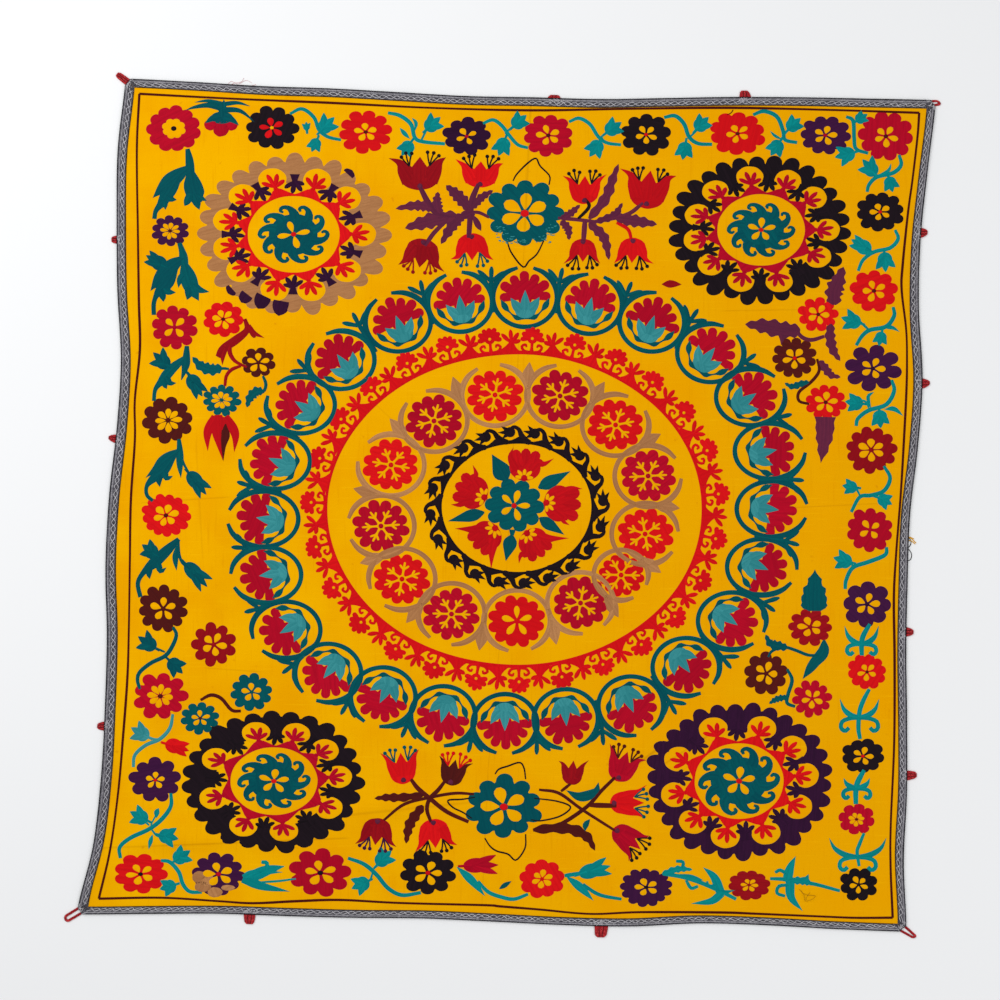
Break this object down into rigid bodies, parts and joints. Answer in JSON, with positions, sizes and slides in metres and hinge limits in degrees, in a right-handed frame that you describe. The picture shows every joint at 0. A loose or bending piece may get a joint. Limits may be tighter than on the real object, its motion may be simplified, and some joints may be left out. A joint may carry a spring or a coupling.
{
  "type": "embroidered suzani textile",
  "caption": "Square embroidered cotton cover laid flat face up, with a folded braid round its edge and short hanging loops sewn on outside it.",
  "frame": {"origin": "under the middle of the whole cloth with its loops, on the surface that it lies on", "axes": "+Z out of the embroidered face, +Y towards the top edge, +X to the right as the face is looked at"},
  "size_m": [2.1915, 2.164, 0.0091],
  "materials": {
    "ground_cotton": "matt plain-weave cotton, dyed yellow",
    "edge_braid": "dark needle-looped braid with pale zigzag threads",
    "loop_tape": "ribbed red cotton tape",
    "silk_embroidery": "soft sheen of laid silk and cotton thread"
  },
  "bodies": {
    "root": {"ground_cloth": "ground_cotton", "braid_top": "edge_braid", "braid_right": "edge_braid", "braid_bottom": "edge_braid", "braid_left": "edge_braid", "loop_top_left": "loop_tape", "loop_top_1": "loop_tape", "loop_top_2": "loop_tape", "loop_top_right": "loop_tape", "loop_right_1": "loop_tape", "loop_right_2": "loop_tape", "loop_right_3": "loop_tape", "loop_right_4": "loop_tape", "loop_bottom_right": "loop_tape", "loop_bottom_1": "loop_tape", "loop_bottom_2": "loop_tape", "loop_bottom_left": "loop_tape", "loop_left_1": "loop_tape", "loop_left_2": "loop_tape", "loop_left_3": "loop_tape"}
  },
  "joints": []
}
